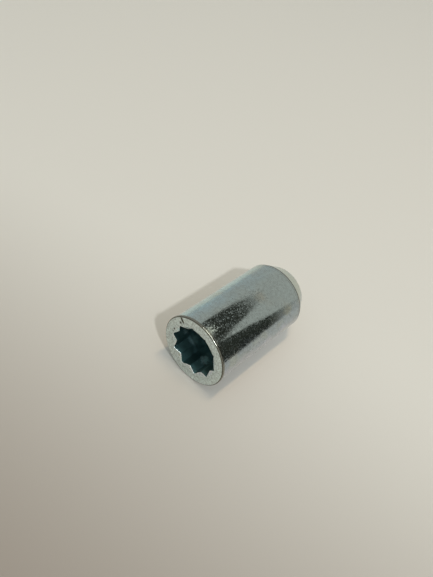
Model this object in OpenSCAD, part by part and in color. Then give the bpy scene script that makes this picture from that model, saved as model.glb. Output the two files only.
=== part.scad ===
// Open-ended wheel lug nut: a turned steel sleeve with a conical seat, a star drive socket and a threaded bore.
// It stands on its seat end with the drive face up; lengths are in millimetres.

/* [Body] */
// Length from the seat end to the drive face
overall_length = 38.5; // [34:0.5:46]
// Diameter of the plain cylindrical body
body_diameter = 20.4; // [19:0.1:22]

/* [Drive lip] */
// How far the lip at the drive face stands proud of the body
lip_proud = 0.3; // [0.1:0.05:0.8]
// Thickness of the lip along the axis, with its rounded edge
lip_width = 0.75; // [0.6:0.05:2]
// Length of the taper from the lip's back edge down to the body
lip_taper = 0.15; // [0.05:0.05:0.5]
// Radius that breaks the lip's front edge
lip_round = 0.4; // [0.1:0.05:0.5]

/* [Seat] */
// Height of the conical seat along the axis
seat_height = 4.6; // [3:0.1:5.5]
// Full angle of the conical seat, in degrees
seat_angle = 60; // [50:1:70]

/* [Star socket] */
// Number of points of the star
star_points = 10; // [8:2:12]
// Wall left between the star's tips and the body's surface
tip_wall = 2.45; // [2:0.05:4]
// Depth of the star's walls below the drive face
socket_depth = 16; // [10:0.5:18]
// How far the lead-in's rim lies inside the star's tips
lead_in_inset = 0.2; // [0:0.05:0.5]
// Full angle of the coned lead-in at the socket's mouth, in degrees
lead_in_angle = 120; // [90:5:140]
// Full angle of the coned floor left by the punch, in degrees
floor_angle = 120; // [100:5:140]

/* [Thread] */
// Wall left between the stud's thread and the body's surface
thread_wall = 4.2; // [3.6:0.1:5]
// Pitch of the thread
thread_pitch = 1.5; // [1:0.25:1.75]
// How far the countersunk mouth stands wider than the stud all round
mouth_clearance = 0.3; // [0.1:0.05:0.5]
// Full angle of the countersunk mouth, in degrees
mouth_angle = 90; // [80:5:120]

/* [Hidden] */

// Height of a metric thread's crests inside the nut, as a share of the pitch, on the diameter
crest_share = 1.0825;
// How far cutting shapes run past the faces they open
overrun = 1;

body_radius = body_diameter / 2;
lip_radius = body_radius + lip_proud;
seat_tip_radius = body_radius - seat_height * tan(seat_angle / 2);
// Nominal radius of the wheel stud's thread
thread_radius = body_radius - thread_wall;
bore_radius = thread_radius - crest_share * thread_pitch / 2;
mouth_radius = thread_radius + mouth_clearance;
mouth_slope = tan(mouth_angle / 2);
mouth_depth = (mouth_radius - bore_radius) / mouth_slope;
star_radius = body_radius - tip_wall;
star_step = 180 / star_points;
// Two polygons with half the points each cross at this radius
root_radius = star_radius * cos(2 * star_step) / cos(star_step);
lead_in_radius = star_radius - lead_in_inset;
lead_in_slope = tan(lead_in_angle / 2);
lead_in_depth = (lead_in_radius - root_radius) / lead_in_slope;
socket_floor = overall_length - socket_depth;
floor_cone_height = (root_radius - bore_radius) / tan(floor_angle / 2);

// Outline of the turned blank, from the seat end up to the drive face
module blank_profile() {
    polygon([
        [0, 0],
        [seat_tip_radius, 0],
        [body_radius, seat_height],
        [body_radius, overall_length - lip_width - lip_taper],
        [lip_radius, overall_length - lip_width],
        [lip_radius, overall_length - lip_round],
        [lip_radius - lip_round, overall_length],
        [0, overall_length]
    ]);
    translate([lip_radius - lip_round, overall_length - lip_round]) circle(r = lip_round);
}

// Section of the drive key: the tips lie on one circle and the inner corners on another
module star_profile() {
    polygon([
        for (i = [0 : 2 * star_points - 1])
            let (r = i % 2 == 0 ? star_radius : root_radius)
                [r * cos(i * star_step), r * sin(i * star_step)]
    ]);
}

// Star walls, punched in from a coned lead-in at the drive face down to a coned floor
module star_socket() {
    translate([0, 0, socket_floor]) linear_extrude(height = socket_depth + overrun) star_profile();
    translate([0, 0, socket_floor - floor_cone_height])
        cylinder(h = floor_cone_height, r1 = bore_radius, r2 = root_radius);
    translate([0, 0, overall_length - lead_in_depth])
        cylinder(h = lead_in_depth + overrun, r1 = root_radius, r2 = lead_in_radius + overrun * lead_in_slope);
}

// Bore at the thread's crests, open into the socket, with a countersunk mouth at the seat end
module stud_bore() {
    translate([0, 0, -overrun]) cylinder(h = socket_floor + overrun, r = bore_radius);
    translate([0, 0, -overrun])
        cylinder(h = mouth_depth + overrun, r1 = mouth_radius + overrun * mouth_slope, r2 = bore_radius);
}

// The whole nut is one turned and punched piece
module lug_nut() {
    color([0.72, 0.73, 0.72])
        difference() {
            rotate_extrude() blank_profile();
            star_socket();
            stud_bore();
        }
}

lug_nut();
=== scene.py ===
import math

import bpy
import numpy as np
from mathutils import Matrix


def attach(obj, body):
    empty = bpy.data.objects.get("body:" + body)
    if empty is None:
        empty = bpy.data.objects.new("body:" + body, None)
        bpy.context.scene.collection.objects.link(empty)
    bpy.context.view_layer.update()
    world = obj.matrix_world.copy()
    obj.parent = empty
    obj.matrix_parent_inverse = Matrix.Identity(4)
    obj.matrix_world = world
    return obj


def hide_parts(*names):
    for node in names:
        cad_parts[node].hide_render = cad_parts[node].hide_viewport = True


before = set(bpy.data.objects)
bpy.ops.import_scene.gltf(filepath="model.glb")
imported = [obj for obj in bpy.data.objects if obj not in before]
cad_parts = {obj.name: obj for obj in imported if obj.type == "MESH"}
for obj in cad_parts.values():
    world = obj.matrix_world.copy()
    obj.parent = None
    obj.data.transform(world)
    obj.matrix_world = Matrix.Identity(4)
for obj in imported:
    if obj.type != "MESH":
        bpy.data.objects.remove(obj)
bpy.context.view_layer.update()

scene = bpy.context.scene
scene.view_settings.view_transform = "Standard"

mm = 0.001
axisUp = np.array([0.0, 0.0, 1.0])


class Wire:
    # one output of a node, which takes part in Python sums
    def __init__(self, finish, node, output=0):
        self.finish = finish
        self.node = node
        self.output = output

    @property
    def socket(self):
        return self.node.outputs[self.output]

    def out(self, output):
        return Wire(self.finish, self.node, output)

    def maths(self, operation, *values):
        sockets = {f"i{k}": value for k, value in enumerate(values)}
        return self.finish.node("ShaderNodeMath", {"operation": operation}, **sockets)

    def __add__(self, other):
        return self.maths("ADD", self, other)

    def __radd__(self, other):
        return self.maths("ADD", other, self)

    def __sub__(self, other):
        return self.maths("SUBTRACT", self, other)

    def __rsub__(self, other):
        return self.maths("SUBTRACT", other, self)

    def __mul__(self, other):
        return self.maths("MULTIPLY", self, other)

    def __rmul__(self, other):
        return self.maths("MULTIPLY", other, self)

    def __truediv__(self, other):
        return self.maths("DIVIDE", self, other)

    def __rtruediv__(self, other):
        return self.maths("DIVIDE", other, self)

    def __pow__(self, other):
        return self.maths("POWER", self, other)

    def __rpow__(self, other):
        return self.maths("POWER", other, self)

    def __neg__(self):
        return self.maths("MULTIPLY", self, -1.0)

    def __abs__(self):
        return self.maths("ABSOLUTE", self)


class Finish:
    # the node tree of a material or the world; every node comes from node()
    def __init__(self, owner):
        owner.use_nodes = True
        self.owner = owner
        self.tree = owner.node_tree
        self.tree.nodes.clear()

    def node(self, kind, settings=None, output=0, **sockets):
        # settings go on the node first; a socket is named by its label, or by i and its number
        made = self.tree.nodes.new(kind)
        for key, value in (settings or {}).items():
            setattr(made, key, value)
        for key, value in sockets.items():
            numbered = key[0] == "i" and key[1:].isdigit()
            slot = made.inputs[int(key[1:])] if numbered else made.inputs[key.replace("_", " ")]
            if isinstance(value, Wire):
                self.tree.links.new(value.socket, slot)
            else:
                slot.default_value = value
        return Wire(self, made, output)

    def smooth(self, value, low, high):
        # 0 up to low, 1 from high on, with a soft step between them
        settings = {"interpolation_type": "SMOOTHSTEP"}
        return self.node("ShaderNodeMapRange", settings, i0=value, i1=low, i2=high)

    def band(self, value, middle, half, soft):
        # 1 within half of the middle, fading to 0 over soft
        return 1.0 - self.smooth(abs(value - middle), half, half + soft)

    def mix(self, factor, first, second):
        return self.node("ShaderNodeMix", {"data_type": "RGBA"}, 2, i0=factor, i6=first, i7=second)

    def noise(self, vector, scale, detail, roughness):
        return self.node("ShaderNodeTexNoise", Vector=vector, Scale=scale, Detail=detail, Roughness=roughness)

    def along(self, vector, direction):
        # how far a vector goes in a direction
        settings = {"operation": "DOT_PRODUCT"}
        return self.node("ShaderNodeVectorMath", settings, "Value", i0=vector, i1=direction)

    def mark(self, name):
        # a value that the mesh carries at its points
        return self.node("ShaderNodeAttribute", {"attribute_name": name}, "Fac")

    def close(self, shader, kind="ShaderNodeOutputMaterial"):
        self.node(kind, Surface=shader)
        return self.owner


def putObject(name, data):
    made = bpy.data.objects.new(name, data)
    scene.collection.objects.link(made)
    return made


def putMark(mesh, name, values):
    mark = mesh.attributes.new(name, "FLOAT", "POINT")
    mark.data.foreach_set("value", values.ravel().astype(np.float32))


def ringMesh(name, points):
    # points is rows x columns x 3; the rows and the columns both close on themselves
    rows, columns = points.shape[:2]
    row, column = np.meshgrid(np.arange(rows), np.arange(columns), indexing="ij")
    nextRow = (row + 1) % rows
    nextColumn = (column + 1) % columns
    quads = np.stack([row * columns + column, row * columns + nextColumn,
                      nextRow * columns + nextColumn, nextRow * columns + column], -1).reshape(-1, 4)
    mesh = bpy.data.meshes.new(name)
    mesh.vertices.add(rows * columns)
    mesh.vertices.foreach_set("co", points.reshape(-1).astype(np.float32))
    mesh.loops.add(quads.size)
    mesh.loops.foreach_set("vertex_index", quads.reshape(-1).astype(np.int32))
    mesh.polygons.add(len(quads))
    mesh.polygons.foreach_set("loop_start", np.arange(0, quads.size, 4, dtype=np.int32))
    mesh.update(calc_edges=True)
    mesh.validate()
    return mesh


# the nut as the drawing gives it, in millimetres and degrees, standing on its seat end
nut = {
    "length": 38.5,
    "bodyRadius": 10.2,
    "lipRadius": 10.5,
    "lipWidth": 0.75,
    "lipTaper": 0.15,
    "lipRound": 0.4,           # how far down the rounded front edge reaches
    "lipRoundIn": 0.34,        # how far in it reaches
    "lipEdge": 0.07,           # softening at both ends of the taper
    "lipEdgeGap": 0.06,        # how far beyond those ends it reaches
    "lipClear": 0.14,          # last plain ring of the body, below the taper
    "seatHeight": 4.6,
    "seatAngle": 30.0,         # from the axis to the cone's side
    "seatTipIn": 0.15,         # broken edge between the seat ring and the cone
    "seatTipOut": 0.09,
    "seatTipUp": 0.16,
    "seatEdgeIn": 0.05,        # broken edge between the cone and the body
    "seatEdgeBelow": 0.09,
    "seatEdgeAbove": 0.1,
    "seatClear": 0.2,          # first plain ring of the body, above that edge
    "starTip": 7.75,
    "starStep": 18.0,          # from a point of the star to the next inner corner
    "tipBlunt": 0.03,
    "leadRadius": 7.55,        # rim of the coned lead-in at the face
    "leadAngle": 60.0,
    "leadLeast": 0.02,         # width of the lead-in where the tips pass its rim
    "leadSplit": 0.9,          # where a close row keeps the cone's shading flat
    "edgeBreak": 0.13,         # softened edge round the star
    "socketFloor": 22.5,
    "floorBreak": 0.1,
    "floorRadius": 6.3,        # rim of the coned floor
    "floorAngle": 60.0,
    "threadRadius": 6.0,
    "crestRadius": 5.188,
    "threadPitch": 1.5,
    "threadRows": 182,
    "grooveSlope": 2.55,       # how fast a groove deepens over half a pitch
    "grooveCrest": 0.35,       # how much of that is crest
    "mouthRadius": 6.3,        # countersink at the seat end
    "sharpAngle": 38.0,
    # columns in each half point of the star, and where more of them run through the worst dents
    "columnSteps": (0, 0.4, 1.3, 2.15, 3.5, 6, 9, 12, 14.5, 16.5, 17.5, 17.88),
    "dentColumns": [(54.7, 68, 0.6), (91.3, 103, 0.9)],      # first, last and step
    # the turned skin wanders from round by bodyWave: share, waves round, waves up and phase
    "bodyWave": 0.0035,
    "waves": [(1.0, 5, 0.21, 0.0), (0.7, 9, -0.33, 1.3), (0.8, 2, 0.55, 0.4)],
    "waveInside": 8.2,         # none of it within this radius
    "waveStart": 0.4,
    "waveRise": 2.0,
    # dents on the drive face: x, y, half width, half length, turn, depth
    "dents": [
        (4.87, 7.88, 0.26, 0.76, 66.0, 0.22),
        (3.66, 7.80, 0.24, 0.30, 40.0, 0.17),
        (-0.50, 7.95, 0.21, 0.29, 40.0, 0.14),
        (-1.55, 7.85, 0.17, 0.26, 40.0, 0.09),
        (-5.2, 7.5, 0.12, 0.30, 130.0, 0.05),
        (-5.7, -6.5, 0.13, 0.26, 20.0, 0.06),
        (-6.2, -5.6, 0.12, 0.22, 100.0, 0.05),
        (3.2, -8.7, 0.13, 0.30, 160.0, 0.05),
    ],
    "dentReach": 0.25,         # how far below the face the skin still gives
    "dentInside": 0.02,        # how far within the lead-in's rim
    "dentStain": 2.8,          # how soon a dent is fully brown
}


def slope(angle):
    return math.tan(math.radians(angle))


def nutColumns():
    # the same steps in each half point of the star, rounded so that no column is doubled
    halfPoints = np.arange(round(360 / nut["starStep"]))[:, None] * nut["starStep"]
    even = (halfPoints + np.array(nut["columnSteps"])).ravel()
    finer = [np.arange(*span) for span in nut["dentColumns"]]
    return np.radians(np.unique(np.round(np.concatenate([even, *finer]), 3)))[None, :]


def starWall(turn):
    # apothem / cos(angle from the middle of a flat), between a tip and an inner corner, with blunt tips
    step = nut["starStep"]
    fromTip = np.abs((np.degrees(turn) + step) % (2 * step) - step)
    apothem = nut["starTip"] * math.cos(math.radians(2 * step))
    return np.minimum(apothem / np.cos(np.radians(2 * step - fromTip)), nut["starTip"] - nut["tipBlunt"])


def threadWall(z, turn):
    # right-hand helix: the phase is z / pitch - turn / 360, and a groove deepens away from its crest;
    # the coned floor above and the 45 degree countersink below take over where they are wider
    phase = (z / nut["threadPitch"] - turn / (2 * math.pi)) % 1.0
    groove = np.clip((0.5 - np.abs(phase - 0.5)) * nut["grooveSlope"] - nut["grooveCrest"], 0, 1)
    thread = nut["crestRadius"] + (nut["threadRadius"] - nut["crestRadius"]) * groove
    floorCone = nut["floorRadius"] + (z - nut["socketFloor"]) * slope(nut["floorAngle"])
    countersink = nut["mouthRadius"] - z
    return np.maximum(thread, np.maximum(floorCone, countersink))


def nutRuns(turn):
    # One closed profile of radius and height: up the outside, over the face, down the star and along the
    # thread back to the seat ring. Each run also says whether it is inside the nut, and how far it is on
    # the star's worn edge.
    n = nut
    runs = []

    def addRun(radius, height, inside, arris):
        sheet = np.ones((len(height), turn.size))
        runs.append((radius * sheet, height * sheet, inside * sheet, arris * sheet))

    def straight(start, stop, rows, inside=0.0, arris=0.0):
        # start + (stop - start) * t, for radius and height alike
        t = np.linspace(0, 1, rows, endpoint=False)[:, None]
        addRun(start[0] + (stop[0] - start[0]) * t, start[1] + (stop[1] - start[1]) * t, inside, arris)

    def rounded(middle, reach, startAngle, stopAngle, rows, arris=0.0):
        # middle + reach * (cos, sin) of the angle
        t = np.radians(np.linspace(startAngle, stopAngle, rows, endpoint=False))[:, None]
        addRun(middle[0] + reach[0] * np.cos(t), middle[1] + reach[1] * np.sin(t), 0.0, arris)

    top, body, lip, seat = n["length"], n["bodyRadius"], n["lipRadius"], n["seatHeight"]
    seatTip = body - seat * slope(n["seatAngle"])
    lipBase = top - n["lipWidth"]
    lipFoot = lipBase - n["lipTaper"]
    # up the outside: radius, height and the rows from there to the next line
    stations = [
        (n["mouthRadius"], 0.0, 4),
        (seatTip - n["seatTipIn"], 0.0, 3),
        (seatTip + n["seatTipOut"], n["seatTipUp"], 12),
        (body - n["seatEdgeIn"], seat - n["seatEdgeBelow"], 2),
        (body, seat + n["seatEdgeAbove"], 1),
        (body, seat + n["seatClear"], 34),
        (body, lipFoot - n["lipClear"], 1),
        (body, lipFoot - n["lipEdgeGap"], 2),
        (body + n["lipEdge"], lipFoot + n["lipEdge"] / 2, 2),
        (lip - n["lipEdge"], lipBase - n["lipEdge"] / 2, 2),
        (lip, lipBase + n["lipEdgeGap"], 3),
        (lip, top - n["lipRound"], 0),
    ]
    for start, stop in zip(stations, stations[1:]):
        straight(start, stop, rows=start[2])
    faceRim = lip - n["lipRoundIn"]
    rounded((faceRim, top - n["lipRound"]), (n["lipRoundIn"], n["lipRound"]), 0, 90, rows=8)

    # the lead-in is a cone from the face down to where it meets each part of the star wall
    star, edge = starWall(turn), n["edgeBreak"]
    leadRim = np.maximum(star + edge + n["leadLeast"], n["leadRadius"])
    leadEnd = top - (leadRim - star - edge) / slope(n["leadAngle"])
    leadRow = (leadRim + (star + edge - leadRim) * n["leadSplit"], top + (leadEnd - top) * n["leadSplit"])
    straight((faceRim, top), (leadRim, top), rows=24)
    straight((leadRim, top), leadRow, rows=3, arris=0.4)
    straight(leadRow, (star + edge, leadEnd), rows=1, arris=0.8)
    rounded((star + edge, leadEnd - edge), (-edge, -edge), -90, 0, rows=4, arris=1.0)

    # down the star to the ring of its floor, and along the thread
    floor, floorEdge = n["socketFloor"], n["floorBreak"]
    straight((star, leadEnd - edge), (star, floor + floorEdge), rows=14, inside=1.0)
    straight((star, floor + floorEdge), (star - floorEdge, floor), rows=2, inside=1.0)
    straight((star - floorEdge, floor), (n["floorRadius"], floor), rows=3, inside=1.0)
    z = np.linspace(floor, 0, n["threadRows"], endpoint=False)[:, None]
    addRun(threadWall(z, turn), z, 1.0, 0.0)
    return [np.concatenate(sheets) for sheets in zip(*runs)]


def nutSurface():
    # the profile carried round the axis, with the turned skin's wander and the dents in its face
    n = nut
    turn = nutColumns()
    radius, height, inside, arris = nutRuns(turn)
    # wander: a sum of sines of angle and height, which starts above the seat ring
    outside = (radius > n["waveInside"]) & (height < n["length"] - n["lipWidth"] - n["lipTaper"])
    wave = 0.0
    for share, rounds, rise, phase in n["waves"]:
        wave = wave + share * np.sin(rounds * turn + rise * height + phase)
    grown = np.clip((height - n["waveStart"]) / n["waveRise"], 0, 1)
    radius = radius + np.where(outside, n["bodyWave"] * wave * grown, 0)
    x = radius * np.cos(turn)
    y = radius * np.sin(turn)
    # dents: a bell of given half width, half length and turn, pushed down into the face
    onFace = (height > n["length"] - n["dentReach"]) & (radius > n["leadRadius"] - n["dentInside"])
    deepest = max(dent[-1] for dent in n["dents"])
    nick = np.zeros_like(height)
    for middleX, middleY, across, along, tilt, deep in n["dents"]:
        c = math.cos(math.radians(tilt))
        s = math.sin(math.radians(tilt))
        u = (x - middleX) * c + (y - middleY) * s
        v = (y - middleY) * c - (x - middleX) * s
        bell = np.where(onFace, np.exp(-(u / along) ** 2 - (v / across) ** 2), 0)
        height = height - deep * bell
        nick = nick + bell * deep / deepest
    marks = {"inside": inside, "arris": arris, "nick": np.minimum(nick * n["dentStain"], 1)}
    return np.stack([x, y, height], -1) * mm, marks


points, marks = nutSurface()
nutMesh = ringMesh("lugNutSkin", points)
for name, values in marks.items():
    putMark(nutMesh, name, values)
nutMesh.polygons.foreach_set("use_smooth", np.ones(len(nutMesh.polygons), dtype=bool))
nutMesh.set_sharp_from_angle(angle=math.radians(nut["sharpAngle"]))
lugNut = putObject("lugNut", nutMesh)
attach(lugNut, "root")
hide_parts("lug_nut")
print("nut skin", len(nutMesh.vertices), "points", 2 * len(nutMesh.polygons), "triangles")

# bright zinc with a chromate film, specks, brown edges that are partly painted shade, a painted sheen on the
# upper limb, a face painted lighter towards its top, and a dull socket with painted shade and light; places
# are in millimetres
zinc = {
    "tones": {
        "plate": (0.525, 0.605, 0.57, 1),
        "blueFilm": (0.50, 0.645, 0.67, 1),
        # painted sheen: lighter cyan for the upper limb
        "limbSheen": (0.53, 0.74, 0.79, 1),
        "lowFilm": (0.42, 0.49, 0.55, 1),
        "lilacFilm": (0.52, 0.56, 0.66, 1),
        "warmPatch": (0.575, 0.60, 0.52, 1),
        "tanStain": (0.50, 0.53, 0.40, 1),
        # partly worn plating, partly a painted dark reflection of the floor's shade
        "lipBandWearAndShade": (0.23, 0.215, 0.165, 1),
        # painted shade and painted light: the face's colour towards the floor and towards its top
        "faceShadedSide": (0.61, 0.69, 0.68, 1),
        "faceLitSide": (0.735, 0.835, 0.825, 1),
        "faceRim": (0.89, 0.985, 0.945, 1),
        "dust": (0.25, 0.26, 0.235, 1),          # dark specks in the plate
        # brown oxide in the dents; along the lip's edges it is partly painted shade and painted dark
        # reflection
        "oxideAndShade": (0.08, 0.071, 0.048, 1),        # brown lines along the edges, and the dents
        # painted shade at the socket's mouth and painted light on its low flank
        "socketMouthShaded": (0.058, 0.122, 0.12, 1),
        "socketLowLit": (0.19, 0.32, 0.30, 1),
        "socketDeep": (0.22, 0.38, 0.395, 1),
        # painted light patches on the socket's walls
        "socketLitPatch": (0.68, 0.97, 0.98, 1),
        "bore": (0.36, 0.43, 0.42, 1),
        "worn": (0.86, 0.88, 0.85, 1),           # white metal on the star's edge
    },
    "noises": {                         # scale, detail and roughness
        "cloud": (0.22, 2.0, 0.5),
        "streak": (1.5, 1.5, 0.5),
        "grain": (2.2, 3.0, 0.6),
        "mottle": (1.3, 2.0, 0.6),
        "patch": (0.16, 1.0, 0.5),
    },
    "turnedSqueeze": (0.9, 0.9, 2.4),   # turning marks run round the axis, so noise is squeezed along it
    "spans": {                          # where each layer starts and where it is full
        "blueFilm": (0.30, 0.85),
        "limbSheen": (0.70, 0.87),
        "edgeFront": (-0.1, 0.3),
        "lowFilm": (0.50, 0.74),
        "lilacFilm": (0.84, 0.98),
        "warmPatch": (0.42, 0.72),
        "tanStain": (33.8, 37.6),
        "onFace": (38.40, 38.47),
        "faceLightAcross": (-9.0, 9.0),
        "faceRim": (8.4, 9.6),
        "faceGrain": (0.40, 0.62),
        "speck": (0.38, 0.70),
        "pit": (0.56, 0.68),
        "dot": (0.64, 0.72),
        "blot": (0.35, 0.68),
        "lipBandWearAndShade": (10.18, 10.30),
        "lipFront": (38.15, 38.3),
        "litPatch": (0.56, 0.68),
        "litPatchTop": (30.0, 33.5),
        "bore": (19.0, 23.0),
        "socketMouthShaded": (31.0, 34.0),
        "socketLowLit": (0.42, 0.86),
        "worn": (0.44, 0.58),
        "rubbed": (0.2, 0.45),
        "mottleRough": (0.42, 0.66),
    },
    "shares": {                         # how strong each layer is
        "drift": 0.6,
        "edgeDrift": 0.5,
        "warmPatch": 0.45,
        "tanStain": 0.7,
        "faceRim": 0.28,
        "faceGrain": 0.34,
        "speckStreak": 0.35,
        "speckGrain": 0.65,
        "pit": 0.2,
        "dot": 0.4,
        "blot": 0.3,
        "lipBandWearAndShade": 0.8,
        "litPatch": 0.6,
        "wornLeast": 0.15,
        "wornMottle": 0.85,
        "rubbed": 0.35,                 # stronger specks on the low flank
        "bumpGrain": 0.6,
        "bumpPit": 0.8,
    },
    "stainBand": (0.10, 0.05, 0.14),    # round the flank: middle, half width and softness
    # dark lines along the radius and the height, brown oxide in part and painted shade in part: middle, half
    # width, softness and share
    "lipLineWearAndShade": (10.30, 0.06, 0.08, 0.95),
    "ringLines": [(37.66, 0.10, 0.10, 0.9), (4.64, 0.10, 0.14, 0.95), (5.3, 0.03, 0.1, 0.4)],
    # x, y, z, reach and share
    "warmSpots": [(10.1, 0.9, 17.6, 2.6, 0.65), (8.2, -6.1, 10.2, 3.0, 0.65)],
    "litPatchSpots": [(-6.3, 3.1, 31.9, 2.0, 0.45), (-6.3, -3.4, 33.0, 1.8, 0.9), (-3.3, 6.1, 33.9, 1.5, 0.3)],
    "spotCore": 0.2,                    # share of the reach that is full
    "warmRagged": 3.0,                  # how far noise moves an edge
    "litPatchRagged": 2.0,
    "stainRagged": 7.0,
    "roughness": {
        "gloss": 0.072,                 # the plain plate; the others add to it
        "speck": 0.19,
        "mottle": 0.085,
        "face": 0.26,
        "stain": 0.27,
        "socket": 0.32,
        "arris": 0.16,
    },
    "grainDepth": 0.000011,             # metres
}


def zincFinish():
    f = Finish(bpy.data.materials.new("zincPlate"))
    tone, span, share, rough = (zinc[key] for key in ("tones", "spans", "shares", "roughness"))
    place = f.node("ShaderNodeTexCoord", output="Object")
    metric = f.node("ShaderNodeVectorMath", {"operation": "SCALE"}, i0=place, Scale=1 / mm)
    turned = f.node("ShaderNodeVectorMath", {"operation": "MULTIPLY"}, i0=metric, i1=zinc["turnedSqueeze"])
    x = f.node("ShaderNodeSeparateXYZ", Vector=metric)
    y = x.out("Y")
    z = x.out("Z")
    radial = (x * x + y * y) ** 0.5
    flank = y / radial                  # -1 on the low flank, 1 on the high one
    inside = f.mark("inside")
    arris = f.mark("arris")
    nick = f.mark("nick")
    noises = zinc["noises"]
    cloud = f.noise(metric, *noises["cloud"])
    streak = f.noise(turned, *noises["streak"])
    grain = f.noise(metric, *noises["grain"])
    mottle = f.noise(metric, *noises["mottle"])
    patch = f.noise(metric, *noises["patch"])

    def line(value, middle, half, soft, strength):
        return f.band(value, middle, half, soft) * strength

    def spot(ragged, *settings):
        # full in its core and gone at its reach, with a ragged edge
        *middle, reach, strength = settings
        gap = f.node("ShaderNodeVectorMath", {"operation": "DISTANCE"}, "Value", i0=metric, i1=middle)
        return (1.0 - f.smooth(gap + ragged, zinc["spotCore"] * reach, reach)) * strength

    # chromate film: bluer on one flank and lilac on the other, broken up by the cloud; a lighter cyan band
    # along the upper limb is a painted sheen
    drift = (cloud - 0.5) * share["drift"]
    edgeDrift = drift * share["edgeDrift"]
    front = f.smooth(x / radial, *span["edgeFront"])
    colour = f.mix(f.smooth(drift + flank, *span["blueFilm"]), tone["plate"], tone["blueFilm"])
    # painted sheen: a lighter cyan band along the upper limb
    colour = f.mix(f.smooth(edgeDrift + flank, *span["limbSheen"]) * front, colour, tone["limbSheen"])
    colour = f.mix(f.smooth(edgeDrift - flank, *span["lowFilm"]), colour, tone["lowFilm"])
    colour = f.mix(f.smooth(drift - flank, *span["lilacFilm"]), colour, tone["lilacFilm"])
    ragged = (grain - 0.5) * zinc["warmRagged"]
    warm = f.smooth(patch, *span["warmPatch"]) * share["warmPatch"]
    warm = sum((spot(ragged, *settings) for settings in zinc["warmSpots"]), warm)
    colour = f.mix(f.smooth(warm, 0.0, 1.0), colour, tone["warmPatch"])

    # a tan stain by the lip
    onFace = f.smooth(z, *span["onFace"])
    stain = f.smooth(z + (grain - 0.5) * zinc["stainRagged"], *span["tanStain"])
    stain = stain * f.band(flank, *zinc["stainBand"]) * (1.0 - onFace)
    colour = f.mix(stain * share["tanStain"], colour, tone["tanStain"])

    # the face is painted lighter towards its top and darker towards the floor (painted light and shade),
    # lighter by its rim, and everything has dark specks
    face = f.mix(f.smooth(x, *span["faceLightAcross"]), tone["faceShadedSide"], tone["faceLitSide"])
    face = f.mix(f.smooth(radial, *span["faceRim"]) * share["faceRim"], face, tone["faceRim"])
    face = f.mix(f.smooth(grain, *span["faceGrain"]) * share["faceGrain"], face, tone["dust"])
    colour = f.mix(onFace, colour, face)
    pit = f.smooth(grain, *span["pit"])
    dot = f.smooth(grain, *span["dot"])
    blot = f.smooth(mottle, *span["blot"])
    colour = f.mix(pit * share["pit"] + dot * share["dot"] + blot * share["blot"], colour, tone["dust"])

    # dark lines: the lip's outer band and front edge, its back edge and the edge of the seat; on the lip they
    # are partly worn plating and partly a painted dark reflection and shadow, and the lip's back edge is
    # partly dirt and partly painted shade
    colour = f.mix(f.smooth(radial, *span["lipBandWearAndShade"]) * share["lipBandWearAndShade"], colour, tone["lipBandWearAndShade"])
    lines = line(radial, *zinc["lipLineWearAndShade"]) * f.smooth(z, *span["lipFront"])
    lines = sum((line(z, *settings) for settings in zinc["ringLines"]), lines)
    colour = f.mix(f.smooth(lines * (1.0 - inside) + nick, 0.0, 1.0), colour, tone["oxideAndShade"])

    # the socket and the bore: painted shade at the socket's mouth, painted light on its low flank, lighter
    # deeper in, and painted light patches on its walls
    ragged = (mottle - 0.5) * zinc["litPatchRagged"]
    litPatch = f.smooth(patch, *span["litPatch"]) * (1.0 - f.smooth(z, *span["litPatchTop"])) * share["litPatch"]
    litPatch = sum((spot(ragged, *settings) for settings in zinc["litPatchSpots"]), litPatch)
    mouth = f.mix(f.smooth(-flank, *span["socketLowLit"]), tone["socketMouthShaded"], tone["socketLowLit"])
    deep = f.mix(f.smooth(z, *span["bore"]), tone["bore"], tone["socketDeep"])
    socket = f.mix(f.smooth(z, *span["socketMouthShaded"]), deep, mouth)
    colour = f.mix(inside, colour, f.mix(litPatch, socket, tone["socketLitPatch"]))
    wear = arris * (share["wornLeast"] + f.smooth(mottle, *span["worn"]) * share["wornMottle"])
    colour = f.mix(wear, colour, tone["worn"])

    # specks, the face, the stain and the socket are duller than the plain plate
    speck = f.smooth(streak * share["speckStreak"] + grain * share["speckGrain"], *span["speck"])
    rubbed = 1.0 + f.smooth(-flank, *span["rubbed"]) * share["rubbed"]
    dull = rough["gloss"] + speck * rubbed * rough["speck"]
    dull = dull + f.smooth(mottle, *span["mottleRough"]) * rough["mottle"] + onFace * rough["face"]
    dull = dull + stain * rough["stain"] + inside * rough["socket"] + arris * rough["arris"]
    relief = streak + grain * share["bumpGrain"] - pit * share["bumpPit"]
    bump = f.node("ShaderNodeBump", Strength=1.0, Distance=zinc["grainDepth"], Height=relief)
    shader = f.node("ShaderNodeBsdfPrincipled", Base_Color=colour, Metallic=1.0, Roughness=dull, Normal=bump)
    return f.close(shader)


lugNut.data.materials.append(zincFinish())
print("zinc finish set")


def unit(vectors):
    return vectors / np.linalg.norm(vectors, axis=-1, keepdims=True)


def placeObject(made, spot, axes):
    # axes are the directions that the object's own x, y and z take
    turn = Matrix(np.stack(axes, 1).tolist())
    made.matrix_world = Matrix.Translation(spot.tolist()) @ turn.to_4x4()


# a phone's view, fitted to the nut's outline
camera = {
    "place": (138.47, -10.44, 127.14),      # millimetres
    "right": (0.4264, -0.6096, -0.6683),
    "up": (0.4523, 0.7835, -0.4261),
    "focalPixels": 620.0,
    "frameHeight": 577.0,                   # pixels
    "sensorHeight": 36.0,
    "clip": (0.005, 10.0),                  # metres
}
eye, eyeRight, eyeUp = (np.array(camera[key]) for key in ("place", "right", "up"))
cameraData = bpy.data.cameras.new("photoCamera")
cameraData.sensor_fit = "VERTICAL"
cameraData.sensor_height = camera["sensorHeight"]
cameraData.lens = camera["sensorHeight"] * camera["focalPixels"] / camera["frameHeight"]
cameraData.clip_start, cameraData.clip_end = camera["clip"]
cameraObject = putObject("photoCamera", cameraData)
placeObject(cameraObject, eye * mm, [eyeRight, eyeUp, np.cross(eyeRight, eyeUp)])
scene.camera = cameraObject
print("camera set")

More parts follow.
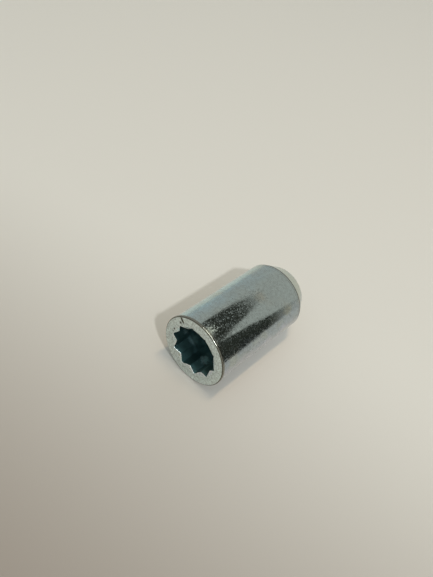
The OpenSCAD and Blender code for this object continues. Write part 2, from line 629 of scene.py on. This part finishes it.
# the nut lies on its lip and the edge of its seat; the floor is the plane that touches both
stage = {
    "up": (0.9293, 0.3692, 0.009),          # away from the floor
    "nutMiddle": (0.0, 0.0, 0.02),          # what the lamps are aimed at, in metres
    "floorHeight": -10.16,                  # millimetres from the axis
    "floorSize": 1.6,                       # metres
    "floorShift": 0.02,                     # metres towards the drive end
    "floorColour": (0.775, 0.70, 0.60, 1),
    # painted shade: the floor is darker towards the near left
    "floorPaintedShade": (0.292, 0.228, 0.175, 1),   # where it falls off towards the near left
    "dimSlant": 0.22,
    "dimSpan": (-0.01, 0.14),               # metres
    "floorRough": 0.75,
    "floorLit": (0.60, 0.58, 0.50, 1),      # the floor without the nut's own shadow
    "floorMirror": 0.35,                    # how much of that shows in the metal
    "roomColour": (0.80, 0.965, 1.06, 1),   # cool light that fills the shadows
    "mirrorColour": (1.0, 1.0, 0.97, 1),
    "roomLight": 0.50,                      # what the room sends to dull surfaces
    "roomMirror": 0.47,                     # what shows of it in the metal
    "wallMirror": 0.42,                     # how much brighter the far wall shows there
    "wallSpan": (0.72, 0.88),
    "roomBackdrop": 0.60,                   # what the camera sees of it
}
up = unit(np.array(stage["up"]))
away = unit(up * (axisUp @ up) - axisUp)        # along the floor, to the nut's far end
side = np.cross(up, away)
nutMiddle = np.array(stage["nutMiddle"])


def heading(direction):
    # direction is given along to the nut's far end, to its side and up from the floor
    return unit(np.array(direction) @ np.stack([away, side, up]))


def floorPlane():
    # a square: its middle and half a side each way, along the floor's two directions
    half = stage["floorSize"] / 2
    middle = up * stage["floorHeight"] * mm - away * stage["floorShift"]
    corners = [middle + half * (a * away + b * side) for a, b in ((-1, -1), (1, -1), (1, 1), (-1, 1))]
    mesh = bpy.data.meshes.new("floorSheet")
    mesh.from_pydata(np.array(corners).tolist(), [], [(0, 1, 2, 3)])
    made = putObject("floorSheet", mesh)
    f = Finish(bpy.data.materials.new("paleFloor"))
    # painted shade: the floor's colour darkens towards the near left
    nearLeft = -away - stage["dimSlant"] * side
    reach = f.along(f.node("ShaderNodeTexCoord", output="Object"), nearLeft.tolist())
    tone = f.mix(f.smooth(reach, *stage["dimSpan"]), stage["floorColour"], stage["floorPaintedShade"])
    pale = f.node("ShaderNodeBsdfPrincipled", Base_Color=tone, Roughness=stage["floorRough"])
    # part of what the metal mirrors of the floor is free of the nut's own shadow
    mirrored = f.node("ShaderNodeLightPath", output="Is Glossy Ray") * stage["floorMirror"]
    lit = f.node("ShaderNodeEmission", Color=stage["floorLit"])
    pale = f.node("ShaderNodeMixShader", i0=mirrored, i1=pale, i2=lit)
    # clear from behind, so that a view from under the floor shows the nut
    behind = f.node("ShaderNodeNewGeometry", output="Backfacing")
    clear = f.node("ShaderNodeBsdfTransparent")
    mesh.materials.append(f.close(f.node("ShaderNodeMixShader", i0=behind, i1=pale, i2=clear)))


def paleRoom():
    # a plain room; the metal mirrors its far wall brighter than the rest
    f = Finish(bpy.data.worlds.new("paleRoom"))
    ray = f.node("ShaderNodeLightPath")
    isSeen = ray.out("Is Camera Ray")
    isMirror = ray.out("Is Glossy Ray")
    towards = f.along(f.node("ShaderNodeTexCoord", output="Generated"), away.tolist())
    wall = f.smooth(towards, *stage["wallSpan"]) * stage["wallMirror"]
    mirrored = stage["roomMirror"] - stage["roomLight"] + wall
    seen = stage["roomBackdrop"] - stage["roomLight"]
    strength = stage["roomLight"] + isMirror * mirrored + isSeen * seen
    colour = f.mix(isMirror, stage["roomColour"], stage["mirrorColour"])
    return f.close(f.node("ShaderNodeBackground", Color=colour, Strength=strength), "ShaderNodeOutputWorld")


floorPlane()
scene.world = paleRoom()
print("floor and room set")

# oval lamps aimed at the nut, in metres and watts; in the metal, a lit strip stands in for the overhead one
lamps = {
    "overheadLamp": {
        "heading": (0.07, -0.09, 1.0),
        "distance": 1.2,
        "length": 0.377,
        "width": 0.12,
        "power": 3.09,
        "colour": (1.0, 0.80, 0.54),
        "mirrored": False,
    },
    "flankLamp": {
        "heading": (-0.42, -0.63, 0.78),
        "distance": 1.6,
        "length": 0.08,
        "width": 0.08,
        "power": 9.4,
        "colour": (0.90, 0.975, 1.06),
        "mirrored": True,
    },
}


def ovalLamp(name, lamp):
    light = bpy.data.lights.new(name, "AREA")
    light.shape = "ELLIPSE"
    light.size = lamp["width"]
    light.size_y = lamp["length"]
    light.energy = lamp["power"]
    light.color = lamp["colour"]
    made = putObject(name, light)
    made.visible_glossy = lamp["mirrored"]
    back = heading(lamp["heading"])
    across = unit(np.cross(away, back))
    placeObject(made, nutMiddle + back * lamp["distance"], [across, np.cross(back, across), back])


for name, lamp in lamps.items():
    ovalLamp(name, lamp)
print("lamps set", list(lamps))

# dark cards that only the metal mirrors; the edges of each card's stripe on the body are given
# as height and angle round the axis, from the lip to the far end
cards = {
    "upperCard": {
        "top": [(42.4, 23.1), (36.4, 22.7), (32.6, 22.5), (28.7, 22.2), (26.8, 21.2), (24.9, 19.6),
                (23.1, 17.5), (21.2, 15.5), (19.3, 13.5), (16.5, 11.0)],
        "low": [(43.3, -18.5), (37.3, -17.5), (33.5, -13.6), (29.7, -9.4), (27.8, -8.0), (25.8, -6.8),
                (23.7, -5.2), (21.6, -2.8), (19.5, 0.0), (16.5, 2.5)],
        "reach": (60.0, 40.0),      # how far the card stands off at its top and low edge, in millimetres
        "fade": (16.8, 23.3),       # heights where it is clear and where it is solid
        "tone": (0.029, 0.030, 0.0235, 1),
        "columns": 9,
    },
    "lowerCard": {
        "top": [(43.3, -14.2), (37.3, -15.4), (33.5, -16.4), (31.5, -18.2), (27.6, -19.7), (23.5, -22.0),
                (21.4, -24.6), (19.2, -26.2), (16.9, -27.4), (14.6, -28.2), (5.6, -32.0)],
        "low": [(42.0, -44.9), (35.7, -47.6), (31.9, -47.2), (30.0, -46.6), (26.1, -46.6), (22.2, -45.0),
                (20.0, -45.0), (17.9, -44.8), (15.8, -44.4), (13.8, -44.4), (5.4, -45.0)],
        "reach": (16.0, 25.0),
        "fade": (6.0, 17.5),
        "tone": (0.029, 0.031, 0.025, 1),
        "columns": 9,
    },
}


def glowSheet(name, sheet, tone, solid):
    # a grid of points as an open sheet with its own tone, seen by the metal alone; it clears where solid is 0
    rows, columns = sheet.shape[:2]
    row, column = np.meshgrid(np.arange(rows - 1), np.arange(columns - 1), indexing="ij")
    first = row * columns + column
    quads = np.stack([first, first + 1, first + columns + 1, first + columns], -1).reshape(-1, 4)
    mesh = bpy.data.meshes.new(name)
    mesh.from_pydata(sheet.reshape(-1, 3).tolist(), [], quads.tolist())
    putMark(mesh, "solid", solid)
    made = putObject(name, mesh)
    f = Finish(bpy.data.materials.new(name + "Tone"))
    clear = f.node("ShaderNodeBsdfTransparent")
    glow = f.node("ShaderNodeEmission", Color=tone)
    mesh.materials.append(f.close(f.node("ShaderNodeMixShader", i0=f.mark("solid"), i1=clear, i2=glow)))
    made.visible_camera = made.visible_diffuse = made.visible_shadow = made.visible_transmission = False


def cardSheet(name, card):
    # body points between the stripe's edges, each carried out along the ray that it mirrors to the camera:
    # sight - 2 * (sight . outward) * outward
    t = np.linspace(0, 1, card["columns"])[None, :, None]
    spots = np.array(card["top"])[:, None] * (1 - t) + np.array(card["low"])[:, None] * t
    height, angle = spots[..., 0], np.radians(spots[..., 1])
    outward = np.stack([np.cos(angle), np.sin(angle), 0 * angle], -1)
    foot = outward * nut["bodyRadius"] + height[..., None] * axisUp
    sight = unit(foot - eye)
    mirrored = sight - 2 * (sight * outward).sum(-1, keepdims=True) * outward
    topReach, lowReach = card["reach"]
    reach = topReach * (1 - t) + lowReach * t
    clear, full = card["fade"]
    solid = np.clip((height - clear) / (full - clear), 0, 1)
    glowSheet(name, (foot + reach * mirrored) * mm, card["tone"], solid)


for name, card in cards.items():
    cardSheet(name, card)
print("cards set", list(cards))

# a lit strip from lamp to lamp, which only the metal mirrors; it draws the bright line on the lip
strip = {
    "from": (0.17, 0.14, 1.0),
    "to": (-0.6, -0.9, 0.75),
    "distance": 0.6,                # metres
    "rows": 16,
    "glow": (15.0, 15.8, 16.2, 1),
    # place along the strip, half width in metres and share of the glow
    "stops": [(0, 0.045, 0.55), (0.12, 0.045, 0.75), (0.26, 0.062, 1.0), (0.47, 0.062, 1.0),
              (0.58, 0.035, 0.6), (1, 0.016, 0.4)],
}


def stripSheet():
    # an arc from one heading to the other, unit(from * (1 - t) + to * t), widened across itself
    t = np.linspace(0, 1, strip["rows"])[:, None]
    start, stop = heading(strip["from"]), heading(strip["to"])
    arc = unit(start * (1 - t) + stop * t)
    across = unit(np.cross(arc, stop - start))
    middle = nutMiddle + arc * strip["distance"]
    places, widths, shares = np.array(strip["stops"]).T
    half = np.interp(t, places, widths)
    solid = np.interp(t, places, shares)
    sheet = np.stack([middle + across * half, middle - across * half], 1)
    glowSheet("lampStrip", sheet, strip["glow"], np.hstack([solid, solid]))


stripSheet()
print("strip set")
